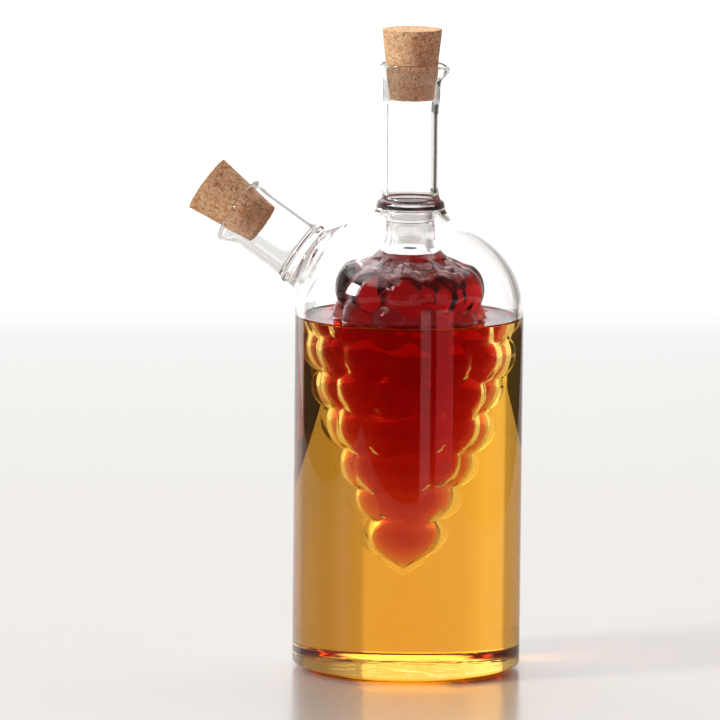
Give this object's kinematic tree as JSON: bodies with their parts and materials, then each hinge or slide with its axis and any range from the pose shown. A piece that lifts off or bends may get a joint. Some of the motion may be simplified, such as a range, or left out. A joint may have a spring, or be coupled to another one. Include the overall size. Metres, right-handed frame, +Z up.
{
  "type": "dual oil and vinegar bottle",
  "caption": "Clear glass cylinder bottle for oil with a slanted spout, holding a grape-cluster vessel for vinegar that pours through the neck, each mouth closed by a cork.",
  "frame": {"origin": "centre of the bottle's flat underside, on the axis of the body and the straight neck", "axes": "+Z up along the axis of the body and neck, -X towards the slanted spout, +X towards the pouring beak of the neck, +Y away from the pictured side"},
  "size_m": [0.1115, 0.075, 0.2113],
  "materials": {
    "glass": "polished",
    "fused_glass": "polished",
    "vessel_glass": "polished",
    "oil": "gloss",
    "vinegar": "gloss",
    "cork": "matte"
  },
  "bodies": {
    "bottle": {"body_tube": "glass", "base_disc": "glass", "bottle_shoulder": "glass", "neck_weld_collar": "fused_glass", "neck_tube": "glass", "spout_weld_ring": "fused_glass", "side_spout_tube": "glass", "vessel_stem": "vessel_glass", "grape_vessel": "vessel_glass", "oil_fill": "oil", "vinegar_fill": "vinegar"},
    "top_stopper": {"top_cork": "cork"},
    "side_stopper": {"side_cork": "cork"}
  },
  "joints": [
    {"name": "top_cork_slide", "type": "slide", "parent": "bottle", "child": "top_stopper", "axis": [0, 0, 1], "range_m": [0, 0.03]},
    {"name": "side_cork_slide", "type": "slide", "parent": "bottle", "child": "side_stopper", "axis": [-0.829, 0, 0.5592], "range_m": [0, 0.03]}
  ]
}
